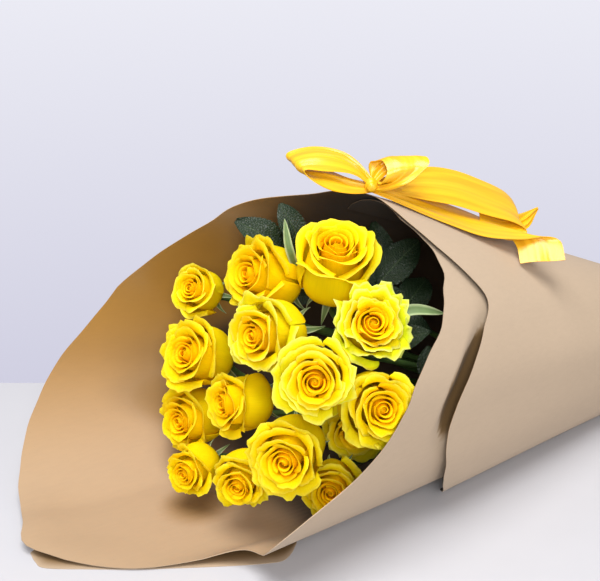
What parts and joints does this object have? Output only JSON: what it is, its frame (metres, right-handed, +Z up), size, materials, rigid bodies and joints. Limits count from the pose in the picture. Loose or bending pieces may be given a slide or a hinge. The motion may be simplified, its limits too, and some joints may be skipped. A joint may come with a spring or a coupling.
{
  "type": "bunch of roses",
  "caption": "Cut roses with leafy stems, lying in a cone-shaped roll of kraft paper, with a satin ribbon bow on the rim of the mouth.",
  "frame": {"origin": "on the surface that the bunch lies on, under the paper's axis and below the knot of the bow", "axes": "+Z up; +X along the bunch to the cut stem ends, so the mouth and the blooms look to -X; -Y is the side the mouth leans open to"},
  "size_m": [0.704, 0.2747, 0.2614],
  "materials": {
    "petals": "soft yellow petals, faintly glossy",
    "greenery": "dark green leaves, stems and sepals",
    "kraft_paper": "matte brown kraft paper",
    "satin_ribbon": "golden yellow satin",
    "tie": "undyed twine"
  },
  "bodies": {
    "root": {"paper_wrap": "kraft_paper", "ribbon_bow": "satin_ribbon", "stem_tie": "tie", "rose_01_bloom": "petals", "rose_01_stem": "greenery", "rose_02_bloom": "petals", "rose_02_stem": "greenery", "rose_03_bloom": "petals", "rose_03_stem": "greenery", "rose_04_bloom": "petals", "rose_04_stem": "greenery", "rose_05_bloom": "petals", "rose_05_stem": "greenery", "rose_06_bloom": "petals", "rose_06_stem": "greenery", "rose_07_bloom": "petals", "rose_07_stem": "greenery", "rose_08_bloom": "petals", "rose_08_stem": "greenery", "rose_09_bloom": "petals", "rose_09_stem": "greenery", "rose_10_bloom": "petals", "rose_10_stem": "greenery", "rose_11_bloom": "petals", "rose_11_stem": "greenery", "rose_12_bloom": "petals", "rose_12_stem": "greenery", "rose_13_bloom": "petals", "rose_13_stem": "greenery", "rose_14_bloom": "petals", "rose_14_stem": "greenery", "rose_15_bloom": "petals", "rose_15_stem": "greenery"}
  },
  "joints": []
}
